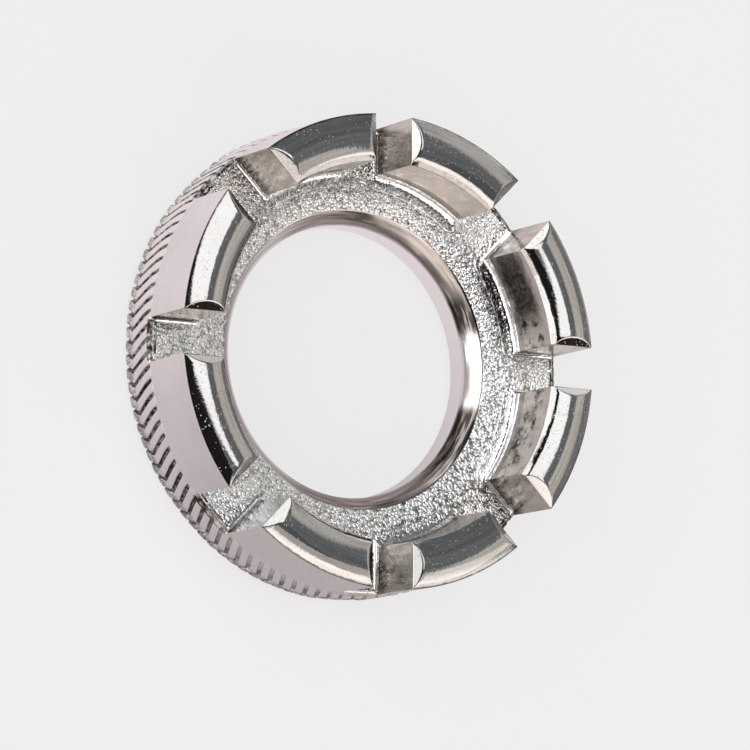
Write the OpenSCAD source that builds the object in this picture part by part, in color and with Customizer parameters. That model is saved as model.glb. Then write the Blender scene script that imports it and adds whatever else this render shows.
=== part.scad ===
/* [Ring] */
// Diameter over the polished jaws
jaw_od = 42.6; // [40:0.2:48]
// Width of the plate's shelf, from the central hole to the jaws
shelf_w = 4.6; // [3.4:0.1:6]
// Thickness of the ring plate, which is also the width of the knurled band
plate_t = 4.3; // [3:0.1:6]
// Rounding of the central hole's front edge
bore_front_r = 1.5; // [0.4:0.1:1.6]
// Chamfer of the central hole's back edge
bore_back_c = 0.3; // [0.1:0.1:0.6]

/* [Jaws] */
// Height of the jaws' crowns above the back face
total_h = 11; // [9:0.1:14]
// Radial thickness of a jaw
jaw_t = 4.3; // [3.8:0.1:4.8]
// Height of the crown's peak above the jaw's outer edge
crown_rise = 0.6; // [0.4:0.1:0.9]
// Distance of the crown's peak from the jaw's outer face
crown_inset = 2.1; // [1.9:0.1:2.4]
// Bevel between the crown and the jaw's inner wall
inner_bevel = 0.7; // [0.3:0.1:0.9]
// Chamfer of the crown's outer edge
outer_edge_c = 0.2; // [0.1:0.05:0.3]
// Reach of the fillet at the foot of the jaw's inner wall
inner_fillet = 1.2; // [0.8:0.1:1.8]
// Reach of the fillet at the foot of each slot wall
slot_fillet = 0.6; // [0.4:0.1:1]
// Set-back of the slot's lead-in chamfer at the crown's peak
lead_in = 0.8; // [0.4:0.1:1.1]

/* [Slots] */
// Width of slot 1, which points along +X
slot_1_w = 3.8; // [3:0.1:6]
// Width of slot 2
slot_2_w = 4.7; // [3:0.1:6]
// Width of slot 3, which points along +Y
slot_3_w = 3.7; // [3:0.1:6]
// Width of slot 4
slot_4_w = 5.7; // [3:0.1:6]
// Width of slot 5
slot_5_w = 3.9; // [3:0.1:6]
// Width of slot 6
slot_6_w = 4.5; // [3:0.1:6]
// Width of slot 7
slot_7_w = 4.1; // [3:0.1:6]
// Width of slot 8
slot_8_w = 5.1; // [3:0.1:6]

/* [Knurl] */
// How far the knurl's ridges stand proud of the jaws
knurl_proud = 0.2; // [0:0.05:0.4]
// Radial depth of the knurled band, from its ridges to the plate
band_depth = 0.9; // [0.7:0.1:1.4]
// Depth of a groove
groove_depth = 0.3; // [0.15:0.05:0.45]
// Width of a groove along the rim
groove_w = 0.5; // [0.3:0.02:0.6]
// Number of grooves in each of the two rows, in fours
groove_count = 108; // [80:4:120]
// Height above the back face at which the front row of grooves meets the back row
groove_apex_z = 1.3; // [1:0.1:2.2]
// How far the front row of grooves slants along the rim; the back row has the same angle
groove_slant = 1.5; // [1:0.1:2.5]

/* [Hidden] */
$fn = 96;

// One overrun serves all cuts
over = 0.5;
// A fillet's centre stands this share of its radius nearer to both walls than a tangent one,
// so it meets them at a low angle, as a casting's does, and not as a feather edge
fillet_drop_share = 0.08;
// The faceted band's inner wall clears the plate's round edge
band_gap = 0.01;

slot_count = 8;
slot_step = 360 / slot_count;
slot_widths = [slot_1_w, slot_2_w, slot_3_w, slot_4_w, slot_5_w, slot_6_w, slot_7_w, slot_8_w];

jaw_r = jaw_od / 2;
inner_r = jaw_r - jaw_t;
bore_r = inner_r - shelf_w;
knurl_r = jaw_r + knurl_proud;
plate_r = knurl_r - band_depth;

// The crown is an arc through the jaw's outer edge that is level at its peak
crown_r = (crown_inset * crown_inset + crown_rise * crown_rise) / (2 * crown_rise);
crown_c_r = jaw_r - crown_inset;
crown_c_z = total_h - crown_r;
edge_z = total_h - crown_rise;
crown_foot_z = max(crown_c_z, plate_t + inner_fillet);
crown_section_fn = 180;
bevel_r = inner_r + inner_bevel;
bevel_z = crown_c_z + sqrt(crown_r * crown_r - pow(bevel_r - crown_c_r, 2));

// Concave fillet in the corner at the origin, with its walls along +X and +Y
module fillet_2d(reach) {
    centre_share = 1 - fillet_drop_share;
    r = reach / (centre_share - sqrt(1 - centre_share * centre_share));
    difference() {
        square(reach);
        translate([r * centre_share, r * centre_share]) circle(r);
    }
}

// The ring plate's section, with its hole's rounded and chamfered edges
module plate_section() {
    front_c = [bore_r + bore_front_r, plate_t - bore_front_r];
    difference() {
        translate([bore_r, 0]) square([plate_r - bore_r, plate_t]);
        difference() {
            translate([bore_r - over, front_c[1]])
                square([bore_front_r + over, bore_front_r + over]);
            translate(front_c) circle(bore_front_r);
        }
        polygon([[bore_r - over, bore_back_c + over],
                 [bore_r - over, -over],
                 [bore_r + bore_back_c + over, -over]]);
    }
}

// A jaw's section: a wall with a crowned top and a bevel inside
module jaw_section() {
    difference() {
        union() {
            translate([inner_r, plate_t]) square([jaw_t, crown_foot_z - plate_t]);
            intersection() {
                translate([inner_r, crown_foot_z]) square([jaw_t, total_h - crown_foot_z]);
                translate([crown_c_r, crown_c_z]) circle(crown_r, $fn = crown_section_fn);
            }
        }
        polygon([[inner_r - over, bevel_z - inner_bevel - over],
                 [bevel_r + over, bevel_z + over],
                 [inner_r - over, bevel_z + over]]);
        polygon([[jaw_r - outer_edge_c - over, edge_z + over],
                 [jaw_r + over, edge_z - outer_edge_c - over],
                 [jaw_r + over, edge_z + over]]);
    }
}

// The space of one slot between the jaws: flat walls and a lead-in at the crown
module slot_section(w) {
    lead_top_z = total_h + over;
    lead_top_w = w + 2 * (lead_top_z - edge_z) * lead_in / crown_rise;
    translate([-w / 2, plate_t - over]) square([w, lead_top_z - plate_t + over]);
    polygon([[-w / 2, edge_z], [w / 2, edge_z],
             [lead_top_w / 2, lead_top_z], [-lead_top_w / 2, lead_top_z]]);
}

// The foot of a jaw before the jaw's wall is taken from it
module foot_section() {
    translate([inner_r, plate_t]) square([jaw_t, slot_fillet]);
    translate([inner_r, plate_t]) mirror([1, 0]) fillet_2d(inner_fillet);
}

// The space of one slot between the jaws' feet, with a fillet along each wall
module foot_gap_section(w) {
    difference() {
        translate([-w / 2, plate_t - over]) square([w, slot_fillet + over]);
        for (side = [0, 1])
            mirror([side, 0]) translate([-w / 2, plate_t]) fillet_2d(slot_fillet);
    }
    translate([-w / 2 - over, plate_t + slot_fillet]) square([w + 2 * over, inner_fillet + over]);
}

// Lays a slot's section along the slot's own direction, from inside the jaws to beyond the rim
module along_slot(i) {
    start = inner_r - inner_fillet - over;
    rotate([0, 0, i * slot_step])
        translate([start, 0, 0])
            rotate([90, 0, 90])
                linear_extrude(knurl_r + over - start) children();
}

// Turns a section through the eighth of a circle from slot i to the next one
module turned_from_slot(i) {
    rotate([0, 0, i * slot_step]) rotate_extrude(angle = slot_step, $fn = 192) children();
}

module back_plate() {
    color("lightgray") rotate_extrude($fn = 192) plate_section();
}

// Jaw i stands between slot i and the next slot
module jaw(i) {
    next = (i + 1) % slot_count;
    color("silver")
        difference() {
            turned_from_slot(i) jaw_section();
            along_slot(i) slot_section(slot_widths[i]);
            along_slot(next) slot_section(slot_widths[next]);
        }
}

// The cast fillets that blend the jaws into the plate, one solid round each jaw's foot
module jaw_feet() {
    wall_h = inner_fillet + 2 * over;
    color("darkgray")
        for (i = [0:slot_count - 1]) let (next = (i + 1) % slot_count)
            difference() {
                turned_from_slot(i) foot_section();
                along_slot(i) foot_gap_section(slot_widths[i]);
                along_slot(next) foot_gap_section(slot_widths[next]);
                difference() {
                    turned_from_slot(i)
                        translate([inner_r, plate_t - over]) square([jaw_t + over, wall_h]);
                    along_slot(i) slot_section(slot_widths[i]);
                    along_slot(next) slot_section(slot_widths[next]);
                }
            }
}

// The band is a ring of facets: two rows of slanted grooves that meet at their apexes
module knurled_band() {
    pitch = 360 / groove_count;
    groove_deg = groove_w / knurl_r * 180 / PI;
    slant_deg = groove_slant / knurl_r * 180 / PI;
    row_z = [0, groove_apex_z, plate_t];
    row_shift = [-slant_deg * groove_apex_z / (plate_t - groove_apex_z), 0, -slant_deg];
    corner_deg = [0, groove_deg / 2, groove_deg];
    corner_r = [knurl_r, knurl_r - groove_depth, knurl_r];
    corners = len(corner_deg);
    n = groove_count * corners;
    outer = [for (row = [0:2]) for (g = [0:groove_count - 1]) for (c = [0:corners - 1])
        let (a = g * pitch + corner_deg[c] + row_shift[row])
            [corner_r[c] * cos(a), corner_r[c] * sin(a), row_z[row]]];
    inner = [for (row = [0, 2]) for (g = [0:groove_count - 1]) for (c = [0:corners - 1])
        let (a = g * pitch + corner_deg[c] - slant_deg, r = plate_r + band_gap)
            [r * cos(a), r * sin(a), row_z[row]]];
    inner_low = 3 * n;
    inner_high = 4 * n;
    faces = [for (k = [0:n - 1]) let (m = (k + 1) % n) each [
        [k, n + k, m], [m, n + k, n + m],
        [n + k, 2 * n + k, n + m], [n + m, 2 * n + k, 2 * n + m],
        [2 * n + k, inner_high + k, 2 * n + m], [2 * n + m, inner_high + k, inner_high + m],
        [inner_high + k, inner_low + k, inner_high + m],
        [inner_high + m, inner_low + k, inner_low + m],
        [inner_low + k, k, inner_low + m], [inner_low + m, k, m]]];
    color("gainsboro") polyhedron(points = concat(outer, inner), faces = faces);
}

back_plate();
knurled_band();
jaw_feet();
jaw(0);  // jaw_1
jaw(1);  // jaw_2
jaw(2);  // jaw_3
jaw(3);  // jaw_4
jaw(4);  // jaw_5
jaw(5);  // jaw_6
jaw(6);  // jaw_7
jaw(7);  // jaw_8
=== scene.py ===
import math

import bmesh
import bpy
import numpy as np
from mathutils import Matrix, Vector


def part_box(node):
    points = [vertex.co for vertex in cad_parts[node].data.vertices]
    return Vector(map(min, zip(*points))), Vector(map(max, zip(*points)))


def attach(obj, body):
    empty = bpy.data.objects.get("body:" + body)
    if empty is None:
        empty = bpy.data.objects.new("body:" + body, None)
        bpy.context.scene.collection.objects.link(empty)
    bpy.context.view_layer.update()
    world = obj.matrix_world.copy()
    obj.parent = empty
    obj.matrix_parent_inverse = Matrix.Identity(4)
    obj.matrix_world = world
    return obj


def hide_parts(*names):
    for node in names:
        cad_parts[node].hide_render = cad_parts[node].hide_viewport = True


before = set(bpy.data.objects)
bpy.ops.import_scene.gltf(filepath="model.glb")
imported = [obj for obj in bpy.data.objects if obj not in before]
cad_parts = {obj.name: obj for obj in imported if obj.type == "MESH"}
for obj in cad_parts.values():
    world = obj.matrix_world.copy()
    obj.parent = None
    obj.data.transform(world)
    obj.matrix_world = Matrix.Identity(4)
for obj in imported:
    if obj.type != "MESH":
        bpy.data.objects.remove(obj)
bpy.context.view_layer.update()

mm = 0.001
slotCount = 8
slotStep = 2 * math.pi / slotCount


# Sizes in millimetres, measured on the CAD solids
def cadPoints(node):
    return np.array([v.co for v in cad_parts[node].data.vertices]) / mm


def cadRadii(node):
    points = cadPoints(node)
    return np.hypot(points[:, 0], points[:, 1])


def fromSlot(points, i):
    # how far points lie along slot i, and across it
    alongX, alongY = math.cos(i * slotStep), math.sin(i * slotStep)
    along = points[:, 0] * alongX + points[:, 1] * alongY
    return along, points[:, 1] * alongX - points[:, 0] * alongY


boreRadius = cadRadii("back_plate").min()
plateRadius = cadRadii("back_plate").max()
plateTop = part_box("back_plate")[1].z / mm
knurlRadius = cadRadii("knurled_band").max()
jawRadius = cadRadii("jaw_1").max()
jawInner = cadRadii("jaw_1").min()
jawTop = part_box("jaw_1")[1].z / mm
halfSlots = [fromSlot(cadPoints("jaw_%d" % (i + 1)), i)[1].min() for i in range(slotCount)]
print("sizes: bore %.2f, plate %.2f x %.2f, jaws %.2f to %.2f, top %.2f"
      % (boreRadius, plateRadius, plateTop, jawInner, jawRadius, jawTop))


# Camera at the photograph's viewing angle
cameraView = {
    "place": (-202.12, -58.44, 340.22),  # millimetres from the middle of the back face
    "right": (0.85458, 0.00322, 0.51931),
    "up": (-0.07739, 0.98960, 0.12122),
    "focalPixels": 4412,  # for a picture 750 pixels wide
    "framePixels": 750,
    "sensor": 36,
    "nearest": 10,  # millimetres in front of the camera at which the view starts
}


def makeCamera():
    data = bpy.data.cameras.new("camera")
    data.sensor_width = cameraView["sensor"]
    data.lens = cameraView["sensor"] * cameraView["focalPixels"] / cameraView["framePixels"]
    data.clip_start = cameraView["nearest"] * mm
    right = Vector(cameraView["right"]).normalized()
    back = right.cross(Vector(cameraView["up"])).normalized()
    turned = Matrix((right, back.cross(right), back)).transposed().to_4x4()
    camera = bpy.data.objects.new("camera", data)
    camera.matrix_world = Matrix.Translation(Vector(cameraView["place"]) * mm) @ turned
    bpy.context.scene.collection.objects.link(camera)
    bpy.context.scene.camera = camera


makeCamera()
bpy.context.scene.view_settings.view_transform = "Standard"
print("camera placed")


# Node helpers: a socket given as a value is linked, anything else is set
def newNode(tree, kind, inputs=None, **settings):
    node = tree.nodes.new(kind)
    for key, value in settings.items():
        setattr(node, key, value)
    for key, value in (inputs or {}).items():
        if isinstance(value, bpy.types.NodeSocket):
            tree.links.new(value, node.inputs[key])
        else:
            node.inputs[key].default_value = value
    return node


def calc(tree, operation, *values, clamp=False):
    inputs = dict(enumerate(values))
    return newNode(tree, "ShaderNodeMath", inputs, operation=operation, use_clamp=clamp).outputs[0]


def product(tree, *values):
    total = values[0]
    for value in values[1:]:
        total = calc(tree, "MULTIPLY", total, value)
    return total


def vectorCalc(tree, operation, *values, **named):
    inputs = {**dict(enumerate(values)), **named}
    node = newNode(tree, "ShaderNodeVectorMath", inputs, operation=operation)
    return node.outputs["Value" if operation == "LENGTH" else "Vector"]


def axes(tree, vector):
    return newNode(tree, "ShaderNodeSeparateXYZ", {0: vector}).outputs


def fromAxis(tree, vector):
    flat = vectorCalc(tree, "MULTIPLY", vector, (1.0, 1.0, 0.0))
    return vectorCalc(tree, "LENGTH", flat)


def ramp(tree, value, low, high, toLow=0.0, toHigh=1.0):
    inputs = {"Value": value, "From Min": low, "From Max": high, "To Min": toLow, "To Max": toHigh}
    return newNode(tree, "ShaderNodeMapRange", inputs, interpolation_type="SMOOTHSTEP").outputs[0]


def zone(tree, place, low, high, toLow=0.0, toHigh=1.0, base=0.0):
    # a ramp between two places in millimetres, counted from base
    return ramp(tree, place, (base + low) * mm, (base + high) * mm, toLow, toHigh)


def blend(tree, share, first, second, mode="MIX"):
    node = newNode(tree, "ShaderNodeMix", data_type="RGBA", blend_type=mode)
    for socket, value in ((node.inputs[0], share), (node.inputs[6], first), (node.inputs[7], second)):
        if isinstance(value, bpy.types.NodeSocket):
            tree.links.new(value, socket)
        else:
            socket.default_value = value if socket.type == "VALUE" else (*value[:3], 1)
    return node.outputs[2]


def noise(tree, vector, scale, detail=2.0, roughness=0.5):
    inputs = {"Vector": vector, "Scale": scale, "Detail": detail, "Roughness": roughness}
    return newNode(tree, "ShaderNodeTexNoise", inputs).outputs["Fac"]


def clouds(tree, vector, texture, levels):
    # noise of a scale, detail and roughness, stretched by the levels of a ramp
    return ramp(tree, noise(tree, vector, *texture), *levels)


def unsteady(tree, place, vector, swing, texture):
    # moves a place by noise, up to half the swing in millimetres either way
    shift = calc(tree, "MULTIPLY_ADD", noise(tree, vector, *texture), swing * mm, -swing / 2 * mm)
    return calc(tree, "ADD", place, shift)


def makeGroup(kind, name, inputs, outputs):
    tree = bpy.data.node_groups.new(name, kind)
    for way, sockets in (("INPUT", inputs), ("OUTPUT", outputs)):
        for label, sort in sockets.items():
            tree.interface.new_socket(label, in_out=way, socket_type="NodeSocket" + sort)
    return tree, tree.nodes.new("NodeGroupInput").outputs, tree.nodes.new("NodeGroupOutput").inputs


# Surroundings: a pale floor and a studio of soft-edged cards
studio = {
    "base": (1.05, 1.04, 1.03),
    # each card's paint and corners, the later ones in front. Corners are degrees east and north of
    # straight up, anticlockwise seen on a map with east to the right
    "cards": {
        "paleNorth": ((1.95, 1.95, 1.95), [(-8, 46), (-8, 90), (-70, 90), (-70, 46)]),
        "paleWest": ((2.0, 1.96, 1.94), [(-38, -33), (-38, 60), (-90, 60), (-90, -33)]),
        "pinkBoard": ((1.43, 1.31, 1.25), [(-45, -30), (-45, -90), (90, -90), (90, -30)]),
        "darkSouth": ((0.034, 0.027, 0.024), [(27, -51), (27, -76), (48, -80), (48, -49)]),
        "taupeWall": ((0.80, 0.75, 0.68), [(37, -23), (62, -27), (62, 60), (37, 60)]),
        "taupeNorth": ((0.66, 0.64, 0.61), [(37, 22), (62, 22), (62, 60), (37, 60)]),
        "slateSide": ((0.28, 0.275, 0.27), [(63, -27), (90, -30), (90, 55), (63, 48)]),
        "slateStrip": ((0.205, 0.217, 0.227), [(19, -29), (37, -30), (38, 30), (20, 34)]),
        "slateLow": ((0.127, 0.135, 0.139), [(4, -29), (22, -29), (22, -4), (4, -4)]),
        "slateFlag": ((0.18, 0.19, 0.20), [(21, 17), (37, 28), (34, 92), (-3, 92), (-9, 52)]),
        "darkFront": ((0.02, 0.017, 0.017),
                      [(2, -24), (4, -5), (-12, 50), (-37, 50), (-37, -30), (-22, -39)]),
        "whiteBox": ((1.86, 1.86, 1.86),
                     [(20, -4.5), (21, 17), (-9, 51), (-21, 43), (-22, 22), (-13, 1)]),
    },
    "softness": 1.5,
    # the room is uneven, apart from the card in front of all others
    "patches": ((9.0, 3.0, 0.6), (0.3, 0.7, 0.55, 1.45)),
    "patchShare": 0.5,
    "evenCard": "whiteBox",
    "panelSpan": (-20, 150, -110, -44),  # millimetres west to east and south to north
    "panelHeight": 98,
    "panelGlow": 0.56,
    "panelColour": (1.0, 0.90, 0.85),
    "floorHalf": 1500,  # millimetres, as the drop below the back face is
    "floorDrop": 0.02,
    "floorColour": (0.86, 0.86, 0.86),
    # what the camera and then reflections see of the floor: outside the ring, south of it, inside it; south
    # of it and inside it the reflections see a painted shadow of the ring
    "floorShown": (0.866, 0.866, 0.866),
    "floorMirrored": ((0.90, 0.825, 0.83), (0.44, 0.405, 0.42), (0.26, 0.225, 0.22)),
    "southZone": (14, -26),
    "insideShadowZone": (10.5, 5),
    "shadowShare": 0.2,
}


def softCard(tree, east, north, corners, softness):
    mask = None
    for first, second in zip(corners, corners[1:] + corners[:1]):
        inward = np.array([first[1] - second[1], second[0] - first[0]], float)
        inward /= np.linalg.norm(inward)
        depth = calc(tree, "ADD", calc(tree, "MULTIPLY", east, inward[0]),
                     calc(tree, "MULTIPLY_ADD", north, inward[1], -float(inward @ np.array(first))))
        inside = ramp(tree, depth, -softness, softness)
        mask = inside if mask is None else calc(tree, "MULTIPLY", mask, inside)
    return mask


def makeWorld():
    world = bpy.data.worlds.new("studio")
    bpy.context.scene.world = world
    world.use_nodes = True
    tree = world.node_tree
    tree.nodes.clear()
    # a direction's distance in degrees from straight up, split into east and north
    direction = newNode(tree, "ShaderNodeTexCoord").outputs["Generated"]
    x, y, z = axes(tree, direction)
    polar = calc(tree, "MULTIPLY", calc(tree, "ARCCOSINE", z), math.degrees(1))
    spread = calc(tree, "DIVIDE", polar, calc(tree, "MAXIMUM", fromAxis(tree, direction), 1e-4))
    east = calc(tree, "MULTIPLY", spread, x)
    north = calc(tree, "MULTIPLY", spread, y)
    colour = studio["base"]
    patches = clouds(tree, direction, *studio["patches"])
    for name, (paint, corners) in studio["cards"].items():
        if name == studio["evenCard"]:
            colour = blend(tree, studio["patchShare"], colour, patches, "MULTIPLY")
        mask = softCard(tree, east, north, corners, studio["softness"])
        colour = blend(tree, mask, colour, paint)
    light = newNode(tree, "ShaderNodeBackground", {"Color": colour, "Strength": 1.0})
    newNode(tree, "ShaderNodeOutputWorld", {"Surface": light.outputs[0]})


def makePanel():
    west, east, south, north = [value * mm for value in studio["panelSpan"]]
    light = bpy.data.lights.new("nearPanel", "AREA")
    light.shape = "RECTANGLE"
    light.size, light.size_y = east - west, north - south
    light.energy = studio["panelGlow"] * math.pi * light.size * light.size_y
    light.color = studio["panelColour"]
    panel = bpy.data.objects.new("nearPanel", light)
    panel.location = ((west + east) / 2, (south + north) / 2, studio["panelHeight"] * mm)
    bpy.context.scene.collection.objects.link(panel)


def makeFloor():
    half, low = studio["floorHalf"] * mm, -studio["floorDrop"] * mm
    mesh = bpy.data.meshes.new("floor")
    mesh.from_pydata([(-half, -half, low), (half, -half, low), (half, half, low), (-half, half, low)],
                     [], [(0, 1, 2, 3)])
    floor = bpy.data.objects.new("floor", mesh)
    bpy.context.scene.collection.objects.link(floor)
    material = bpy.data.materials.new("floorPaper")
    material.use_nodes = True
    tree = material.node_tree
    tree.nodes.clear()
    paper = newNode(tree, "ShaderNodeBsdfDiffuse", {"Color": (*studio["floorColour"], 1)})
    where = newNode(tree, "ShaderNodeTexCoord").outputs["Object"]
    # reflections see the floor darker south of the ring and inside it: a painted shadow of the ring
    outside, south, inside = studio["floorMirrored"]
    mirrored = blend(tree, zone(tree, axes(tree, where)[1], *studio["southZone"]), outside, south)
    fromMiddle = vectorCalc(tree, "LENGTH", where)
    mirrored = blend(tree, zone(tree, fromMiddle, *studio["insideShadowZone"]), mirrored, inside)
    ray = newNode(tree, "ShaderNodeLightPath").outputs
    colour = blend(tree, ray["Is Camera Ray"], mirrored, studio["floorShown"])
    shown = newNode(tree, "ShaderNodeEmission", {"Color": colour, "Strength": 1.0})
    seen = calc(tree, "ADD", ray["Is Camera Ray"], ray["Is Glossy Ray"])
    seen = calc(tree, "ADD", seen, ray["Is Transmission Ray"], clamp=True)
    share = calc(tree, "MULTIPLY", seen, 1 - studio["shadowShare"])
    surface = newNode(tree, "ShaderNodeMixShader", {0: share, 1: paper.outputs[0], 2: shown.outputs[0]})
    newNode(tree, "ShaderNodeOutputMaterial", {"Surface": surface.outputs[0]})
    mesh.materials.append(material)


makeWorld()
makePanel()
makeFloor()
print("studio ready")


# Shared surface effects. A noise is given as its scale, detail and roughness, with a ramp's levels after it
castPebbles = {
    "blur": 0.35,
    "fine": (1.7, 2.0, 0.55),
    "fineShare": 0.36,
    "wide": (0.36, 2.0, 0.5),
    "pitLevels": (1.22, 0.88),
}


def makeCastGrain():
    tree, given, out = makeGroup(
        "ShaderNodeTree", "castGrain", {"Vector": "Vector", "Grain": "Float", "Pebbles": "Float"},
        {"Height": "Float", "Pits": "Float"})
    warp = newNode(tree, "ShaderNodeTexNoise",
                   {"Vector": given["Vector"], "Scale": given["Grain"], "Detail": 1.0})
    shift = vectorCalc(tree, "SUBTRACT", warp.outputs["Color"], (0.5, 0.5, 0.5))
    cell = vectorCalc(tree, "SCALE", given["Vector"], Scale=given["Grain"])
    warped = vectorCalc(tree, "ADD", cell, shift)
    pebble = newNode(tree, "ShaderNodeTexVoronoi",
                     {"Vector": warped, "Scale": 1.0, "Smoothness": castPebbles["blur"]},
                     feature="SMOOTH_F1")
    dome = calc(tree, "SUBTRACT", 1.0, pebble.outputs["Distance"])
    fine = calc(tree, "MULTIPLY", noise(tree, cell, *castPebbles["fine"]), castPebbles["fineShare"])
    rough = calc(tree, "ADD", fine, noise(tree, cell, *castPebbles["wide"]))
    height = calc(tree, "ADD", calc(tree, "MULTIPLY", dome, given["Pebbles"]), rough)
    tree.links.new(height, out["Height"])
    tree.links.new(ramp(tree, height, *castPebbles["pitLevels"]), out["Pits"])
    return tree


polish = {
    "turn": 0.0006,  # how fast the lines change round the ring
    "lines": (3.0, 0.6),  # detail and roughness
    "waves": (1.0, 0.4),
    "ripples": (3200.0, 2.0, 0.6),
    "lineShare": 0.30,
    "lineLevels": (0.35, 0.7),
    "bend": (5000.0, 0.00022),  # scale and reach of the bends in the specks' outlines
    "patches": ((420.0, 2.0), (0.46, 0.68)),
    "patchGain": 0.26,
    "specks": ((3000.0, 0.87, 0.26), (5600.0, 0.76, 0.32)),  # scale, rarity and size
    "speckCore": 0.06,
    "speckSoft": 0.1,
}


def makeSpecks(tree, vector):
    scale, reach = polish["bend"]
    bent = newNode(tree, "ShaderNodeTexNoise", {"Vector": vector, "Scale": scale})
    place = vectorCalc(tree, "ADD", vector, vectorCalc(tree, "SCALE", bent.outputs["Color"], Scale=reach))
    patches = clouds(tree, vector, *polish["patches"])
    speck = 0.0
    for scale, rarity, size in polish["specks"]:
        specks = newNode(tree, "ShaderNodeTexVoronoi", {"Vector": place, "Scale": scale})
        tint = newNode(tree, "ShaderNodeSeparateColor", {0: specks.outputs["Color"]})
        needed = calc(tree, "MULTIPLY_ADD", patches, -polish["patchGain"], rarity + polish["patchGain"] / 2)
        chosen = ramp(tree, calc(tree, "SUBTRACT", tint.outputs[0], needed), 0.0, polish["speckSoft"])
        dot = product(tree, ramp(tree, specks.outputs["Distance"], size, polish["speckCore"]), chosen)
        speck = calc(tree, "MAXIMUM", speck, dot)
    return speck


def makePolishMarks():
    tree, given, out = makeGroup(
        "ShaderNodeTree", "polishMarks",
        {"Vector": "Vector", "Lines": "Float", "Waves": "Float", "Ripples": "Float", "Pitting": "Float"},
        {"Height": "Float", "Streaks": "Float", "Specks": "Float"})
    x, y = axes(tree, given["Vector"])[:2]
    turn = calc(tree, "MULTIPLY", calc(tree, "ARCTAN2", y, x), polish["turn"])
    ringwise = newNode(tree, "ShaderNodeCombineXYZ", {0: fromAxis(tree, given["Vector"]), 1: turn})
    lines = noise(tree, ringwise.outputs[0], given["Lines"], *polish["lines"])
    waves = noise(tree, given["Vector"], given["Waves"], *polish["waves"])
    ripples = noise(tree, given["Vector"], *polish["ripples"])
    speck = makeSpecks(tree, given["Vector"])
    height = calc(tree, "ADD", calc(tree, "MULTIPLY", lines, polish["lineShare"]), waves)
    height = calc(tree, "ADD", height, calc(tree, "MULTIPLY", ripples, given["Ripples"]))
    height = calc(tree, "SUBTRACT", height, calc(tree, "MULTIPLY", speck, given["Pitting"]))
    tree.links.new(height, out["Height"])
    tree.links.new(ramp(tree, lines, *polish["lineLevels"]), out["Streaks"])
    tree.links.new(speck, out["Specks"])
    return tree


castGrain = makeCastGrain()
polishMarks = makePolishMarks()


def addEffect(tree, effect, vector, **values):
    return newNode(tree, "ShaderNodeGroup", {"Vector": vector, **values}, node_tree=effect).outputs


def startMaterial(name, colour):
    material = bpy.data.materials.new(name)
    material.use_nodes = True
    material.diffuse_color = (*colour, 1)
    tree = material.node_tree
    tree.nodes.clear()
    where = newNode(tree, "ShaderNodeTexCoord").outputs["Object"]
    return material, tree, where


def finishMetal(material, colour, roughness, height, depth):
    tree = material.node_tree
    bump = newNode(tree, "ShaderNodeBump", {"Height": height, "Distance": depth, "Strength": 1.0})
    inputs = {"Base Color": colour, "Roughness": roughness, "Normal": bump.outputs[0], "Metallic": 1.0}
    shader = newNode(tree, "ShaderNodeBsdfPrincipled", inputs)
    newNode(tree, "ShaderNodeOutputMaterial", {"Surface": shader.outputs[0]})
    return material


def westPocket(tree, where, look):
    # the low part of the slot at -X
    x, y, z = axes(tree, where)
    across = calc(tree, "ABSOLUTE", y)
    return product(tree, zone(tree, x, *look["pocketWest"]), zone(tree, across, *look["pocketAcross"]),
                   zone(tree, z, *look["pocketHeight"], base=plateTop))


# In the metals' dictionaries two places in millimetres say where an effect starts and where it is full,
# and its strengths at both may follow. Depths of the grain are in metres
castNickel = {
    "bright": (0.865, 0.87, 0.873),
    "pitShade": (0.05, 0.048, 0.046),
    "brighter": (0.99, 0.99, 0.985),
    "paintedShade": (0.10, 0.09, 0.085),
    "grain": 3300.0,  # pebbles to a metre
    "flatGrain": 0.1,  # share of the grain that is left where the attribute skin is 0
    "roughness": ((900.0,), (0.3, 0.7, 0.03, 0.09)),
    "lean": 0.095,  # slope of the front face towards the hole
    # the skin is painted brighter, a painted highlight, between +X and +Y, by x + y, with fewer pits there,
    # and has more pits between +X and -Y, by x - y
    "brighterZone": (15, 21),
    "brighterPits": 0.4,
    "pittedZone": (13, 19, 1.0, 1.6),
    # painted shade darkens the front face's rounded rim
    "rimZone": (0.15, 0.4, 0.0, 0.8),  # from the plate's radius
    # painted shade lies along the foot of the jaw north of +X, and thinner along the +Y jaws
    "footEast": (11, 14),
    "footNorth": (1.5, 4),
    "thinNorth": (4, 9, 0.0, 0.5),
    "footInner": (14.4, 15.4),
    "footOuter": (16.8, 16.4),
    "footCover": ((1700.0, 3.0, 0.6), (0.36, 0.58, 0.15, 0.92)),
    # and in the fillets of the slot at -X
    "pocketWest": (-16.6, -17.4),
    "pocketAcross": (3.2, 2.8),
    "pocketHeight": (0.06, 0.22, 0.0, 0.85),  # from the plate's front
}


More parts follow.
